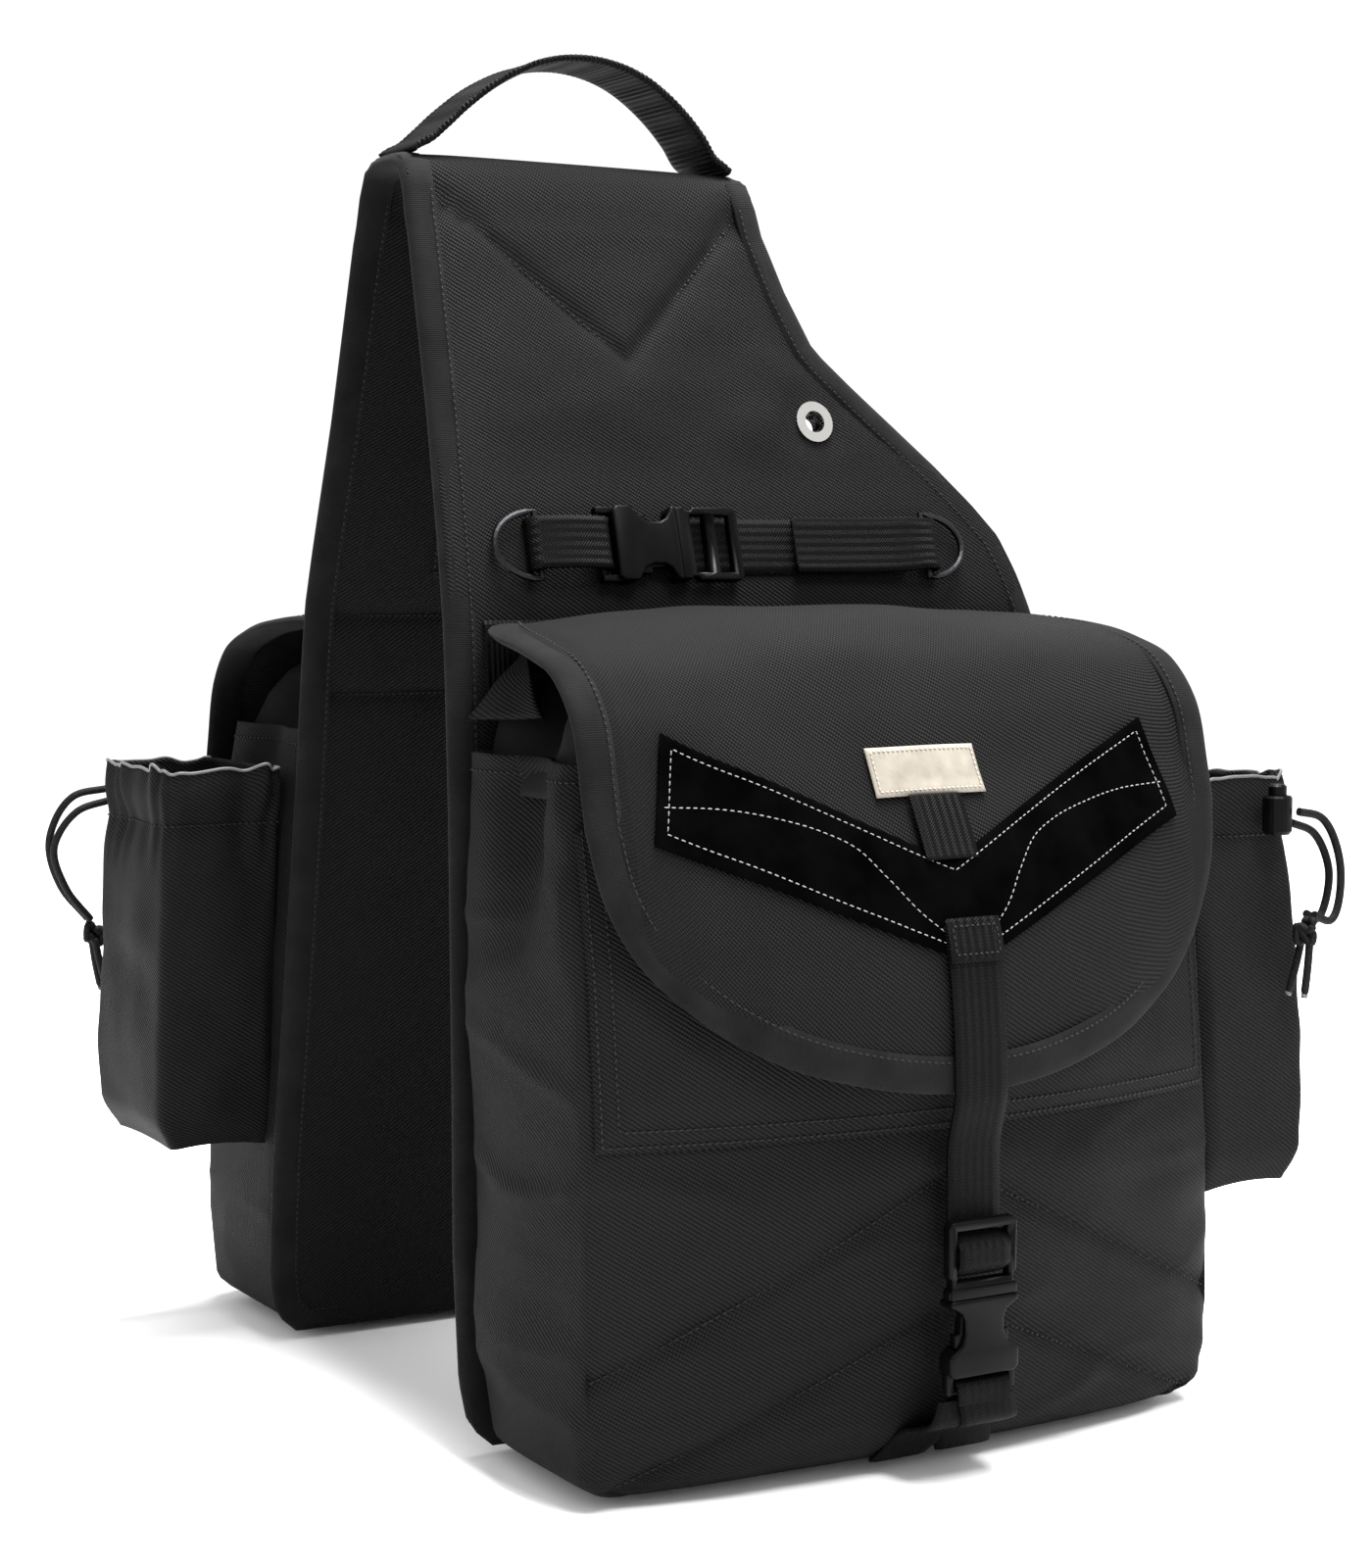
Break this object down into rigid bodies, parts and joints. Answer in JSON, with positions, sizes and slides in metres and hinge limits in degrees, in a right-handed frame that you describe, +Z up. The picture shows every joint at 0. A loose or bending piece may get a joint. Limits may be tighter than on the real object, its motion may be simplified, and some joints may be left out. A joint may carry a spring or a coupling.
{
  "type": "saddle bag pair",
  "caption": "Pair of stuffed black fabric saddle bags with flaps, side bottle pockets and buckles, joined by a padded yoke that folds over a ridge under a carry handle.",
  "frame": {"origin": "on the surface it stands on, at the middle of the object's outline without its drawcords", "axes": "+Z up, -Y out of the front bag's face, +X to the right as seen by someone facing the front bag"},
  "size_m": [0.4555, 0.485, 0.5804],
  "materials": {
    "black_polyester": "twill woven polyester, matt with a slight sheen",
    "binding_tape": "brushed folded tape",
    "webbing": "ribbed and herringbone webbing",
    "suede": "black suede",
    "label_leather": "smooth beige leather",
    "black_plastic": "fine moulded texture",
    "dark_steel": "black-plated wire",
    "nickel": "polished nickel",
    "cord": "braided round cord"
  },
  "bodies": {
    "front_half": {"front_yoke_panel": "black_polyester", "front_yoke_binding": "binding_tape", "front_yoke_band": "webbing", "front_eyelet": "nickel", "front_d_ring_tab": "webbing", "front_yoke_strap": "webbing", "front_yoke_buckle_socket": "black_plastic", "front_bag_shell": "black_polyester", "front_collar": "black_polyester", "front_patch_pocket": "black_polyester", "front_bottle_pocket": "black_polyester", "front_pocket_hem": "black_polyester", "front_cord_lock": "black_plastic", "front_cord_strand_a": "cord", "front_cord_strand_b": "cord", "front_cord_knot": "cord", "front_closure_socket": "black_plastic", "front_lower_strap": "webbing", "yoke_ridge": "black_polyester", "handle": "webbing"},
    "front_flap": {"front_flap": "black_polyester", "front_flap_binding": "binding_tape", "front_chevron": "suede", "front_label": "label_leather", "front_label_tab": "webbing", "front_closure_strap": "webbing"},
    "front_closure_clip": {"front_closure_clip": "black_plastic"},
    "front_yoke_clip": {"front_yoke_buckle_clip": "black_plastic"},
    "front_left_ring": {"front_left_d_ring": "dark_steel"},
    "front_right_ring": {"front_right_d_ring": "dark_steel"},
    "front_lock_button": {"front_cord_lock_button": "black_plastic"},
    "rear_half": {"rear_yoke_panel": "black_polyester", "rear_yoke_binding": "binding_tape", "rear_yoke_band": "webbing", "rear_eyelet": "nickel", "rear_d_ring_tab": "webbing", "rear_yoke_strap": "webbing", "rear_yoke_buckle_socket": "black_plastic", "rear_bag_shell": "black_polyester", "rear_collar": "black_polyester", "rear_patch_pocket": "black_polyester", "rear_bottle_pocket": "black_polyester", "rear_pocket_hem": "black_polyester", "rear_cord_lock": "black_plastic", "rear_cord_strand_a": "cord", "rear_cord_strand_b": "cord", "rear_cord_knot": "cord", "rear_closure_socket": "black_plastic", "rear_lower_strap": "webbing"},
    "rear_flap": {"rear_flap": "black_polyester", "rear_flap_binding": "binding_tape", "rear_chevron": "suede", "rear_label": "label_leather", "rear_label_tab": "webbing", "rear_closure_strap": "webbing"},
    "rear_closure_clip": {"rear_closure_clip": "black_plastic"},
    "rear_yoke_clip": {"rear_yoke_buckle_clip": "black_plastic"},
    "rear_left_ring": {"rear_left_d_ring": "dark_steel"},
    "rear_right_ring": {"rear_right_d_ring": "dark_steel"},
    "rear_lock_button": {"rear_cord_lock_button": "black_plastic"}
  },
  "joints": [
    {"name": "front_flap_hinge", "type": "hinge", "parent": "front_half", "child": "front_flap", "pos_m": [0, -0.0795, 0.338], "axis": [-1, 0, 0], "range_deg": [0, 62]},
    {"name": "front_closure_release", "type": "slide", "parent": "front_flap", "child": "front_closure_clip", "axis": [0, 0, 1], "range_m": [0, 0.03]},
    {"name": "front_yoke_buckle_release", "type": "slide", "parent": "front_half", "child": "front_yoke_clip", "axis": [1, 0, 0], "range_m": [0, 0.027]},
    {"name": "front_left_ring_swing", "type": "hinge", "parent": "front_half", "child": "front_left_ring", "pos_m": [-0.1082, -0.07215, 0.37011], "axis": [0, 0.2696, 0.963], "range_deg": [0, 135]},
    {"name": "front_right_ring_swing", "type": "hinge", "parent": "front_half", "child": "front_right_ring", "pos_m": [0.0882, -0.07215, 0.37011], "axis": [0, -0.2696, -0.963], "range_deg": [0, 135]},
    {"name": "front_lock_press", "type": "slide", "parent": "front_half", "child": "front_lock_button", "axis": [0, 0, -1], "range_m": [0, 0.003], "stiffness_N_per_m": 400},
    {"name": "yoke_fold", "type": "hinge", "parent": "front_half", "child": "rear_half", "pos_m": [-0.059, 0, 0.5175], "axis": [1, 0, 0], "range_deg": [-18, 65]},
    {"name": "rear_flap_hinge", "type": "hinge", "parent": "rear_half", "child": "rear_flap", "pos_m": [0, 0.0795, 0.338], "axis": [1, 0, 0], "range_deg": [0, 62]},
    {"name": "rear_closure_release", "type": "slide", "parent": "rear_flap", "child": "rear_closure_clip", "axis": [0, 0, 1], "range_m": [0, 0.03]},
    {"name": "rear_yoke_buckle_release", "type": "slide", "parent": "rear_half", "child": "rear_yoke_clip", "axis": [-1, 0, 0], "range_m": [0, 0.027]},
    {"name": "rear_left_ring_swing", "type": "hinge", "parent": "rear_half", "child": "rear_left_ring", "pos_m": [0.1082, 0.07215, 0.37011], "axis": [0, -0.2696, 0.963], "range_deg": [0, 135]},
    {"name": "rear_right_ring_swing", "type": "hinge", "parent": "rear_half", "child": "rear_right_ring", "pos_m": [-0.0882, 0.07215, 0.37011], "axis": [0, 0.2696, -0.963], "range_deg": [0, 135]},
    {"name": "rear_lock_press", "type": "slide", "parent": "rear_half", "child": "rear_lock_button", "axis": [0, 0, -1], "range_m": [0, 0.003], "stiffness_N_per_m": 400}
  ]
}
